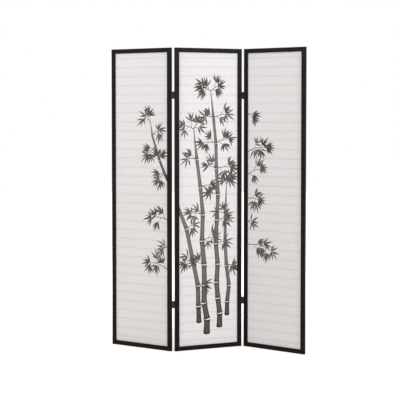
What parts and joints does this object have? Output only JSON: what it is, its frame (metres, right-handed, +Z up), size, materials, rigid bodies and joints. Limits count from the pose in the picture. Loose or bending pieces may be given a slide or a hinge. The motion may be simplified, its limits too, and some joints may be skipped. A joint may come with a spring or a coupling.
{
  "type": "folding shoji screen",
  "caption": "Folding shoji room screen: tall black wooden frames round lath-backed paper, joined edge to edge by double-acting hinges, standing in a zigzag.",
  "frame": {"origin": "on the floor, under the middle of the bounding box of the screen as it stands in its zigzag", "axes": "+Z up along the stiles, +Y away from the printed front towards the lath side, +X to the right as seen from the front"},
  "size_m": [1.1448, 0.3478, 1.785],
  "materials": {
    "wood": "black lacquer, satin",
    "paper": "white shoji paper, matte",
    "hinge": "black enamel"
  },
  "bodies": {
    "centre_panel": {"centre_left_stile": "wood", "centre_right_stile": "wood", "centre_bottom_rail": "wood", "centre_top_rail": "wood", "centre_lath_paper": "paper", "left_upper_hinge_inner_leaf": "hinge", "left_upper_hinge_inner_screw_top": "hinge", "left_upper_hinge_inner_screw_low": "hinge", "left_lower_hinge_inner_leaf": "hinge", "left_lower_hinge_inner_screw_top": "hinge", "left_lower_hinge_inner_screw_low": "hinge", "right_upper_hinge_inner_leaf": "hinge", "right_upper_hinge_inner_screw_top": "hinge", "right_upper_hinge_inner_screw_low": "hinge", "right_lower_hinge_inner_leaf": "hinge", "right_lower_hinge_inner_screw_top": "hinge", "right_lower_hinge_inner_screw_low": "hinge"},
    "left_link": {"left_upper_hinge_link": "hinge", "left_upper_hinge_inner_pin": "hinge", "left_upper_hinge_outer_pin": "hinge", "left_lower_hinge_link": "hinge", "left_lower_hinge_inner_pin": "hinge", "left_lower_hinge_outer_pin": "hinge"},
    "left_panel": {"left_left_stile": "wood", "left_right_stile": "wood", "left_bottom_rail": "wood", "left_top_rail": "wood", "left_lath_paper": "paper", "left_upper_hinge_outer_leaf": "hinge", "left_upper_hinge_outer_screw_top": "hinge", "left_upper_hinge_outer_screw_low": "hinge", "left_lower_hinge_outer_leaf": "hinge", "left_lower_hinge_outer_screw_top": "hinge", "left_lower_hinge_outer_screw_low": "hinge"},
    "right_link": {"right_upper_hinge_link": "hinge", "right_upper_hinge_inner_pin": "hinge", "right_upper_hinge_outer_pin": "hinge", "right_lower_hinge_link": "hinge", "right_lower_hinge_inner_pin": "hinge", "right_lower_hinge_outer_pin": "hinge"},
    "right_panel": {"right_left_stile": "wood", "right_right_stile": "wood", "right_bottom_rail": "wood", "right_top_rail": "wood", "right_lath_paper": "paper", "right_upper_hinge_outer_leaf": "hinge", "right_upper_hinge_outer_screw_top": "hinge", "right_upper_hinge_outer_screw_low": "hinge", "right_lower_hinge_outer_leaf": "hinge", "right_lower_hinge_outer_screw_top": "hinge", "right_lower_hinge_outer_screw_low": "hinge"}
  },
  "joints": [
    {"name": "left_inner_pins", "type": "hinge", "parent": "centre_panel", "child": "left_link", "pos_m": [-0.1903, -0.07116, 0.8925], "axis": [0, 0, 1], "range_deg": [-61.9, 73.1]},
    {"name": "left_outer_pins", "type": "hinge", "parent": "left_link", "child": "left_panel", "pos_m": [-0.20773, -0.06957, 0.8925], "axis": [0, 0, 1], "range_deg": [-61.9, 73.1]},
    {"name": "right_inner_pins", "type": "hinge", "parent": "centre_panel", "child": "right_link", "pos_m": [0.2082, 0.09717, 0.8925], "axis": [0, 0, 1], "range_deg": [-59.8, 75.2]},
    {"name": "right_outer_pins", "type": "hinge", "parent": "right_link", "child": "right_panel", "pos_m": [0.22556, 0.09495, 0.8925], "axis": [0, 0, 1], "range_deg": [-59.8, 75.2]}
  ]
}
